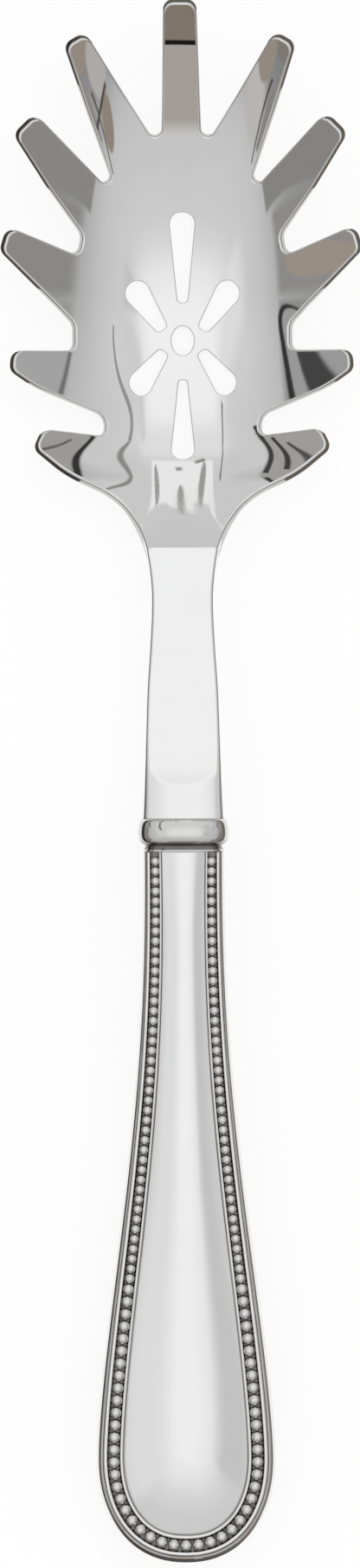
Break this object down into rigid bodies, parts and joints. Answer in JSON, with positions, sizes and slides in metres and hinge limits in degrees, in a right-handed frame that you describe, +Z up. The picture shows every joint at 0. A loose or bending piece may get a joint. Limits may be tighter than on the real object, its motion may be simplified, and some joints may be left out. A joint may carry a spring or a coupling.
{
  "type": "pasta server",
  "caption": "Serving spoon for long pasta: toothed, pierced bowl, flat neck, collar and hollow handle with beaded borders, lying on its back.",
  "frame": {"origin": "on the table, under the middle of the server's length and width", "axes": "+Y from the butt of the handle to the tip of the front tine, +Z up out of the open bowl, +X to the right"},
  "size_m": [0.0647, 0.279, 0.0233],
  "materials": {
    "head_steel": "polished",
    "collar_steel": "polished",
    "front_shell_steel": "polished",
    "back_shell_steel": "polished",
    "filler_cement": "matte"
  },
  "bodies": {
    "root": {"server_head": "head_steel", "collar": "collar_steel", "handle_front_shell": "front_shell_steel", "handle_back_shell": "back_shell_steel", "handle_filler": "filler_cement"}
  },
  "joints": []
}
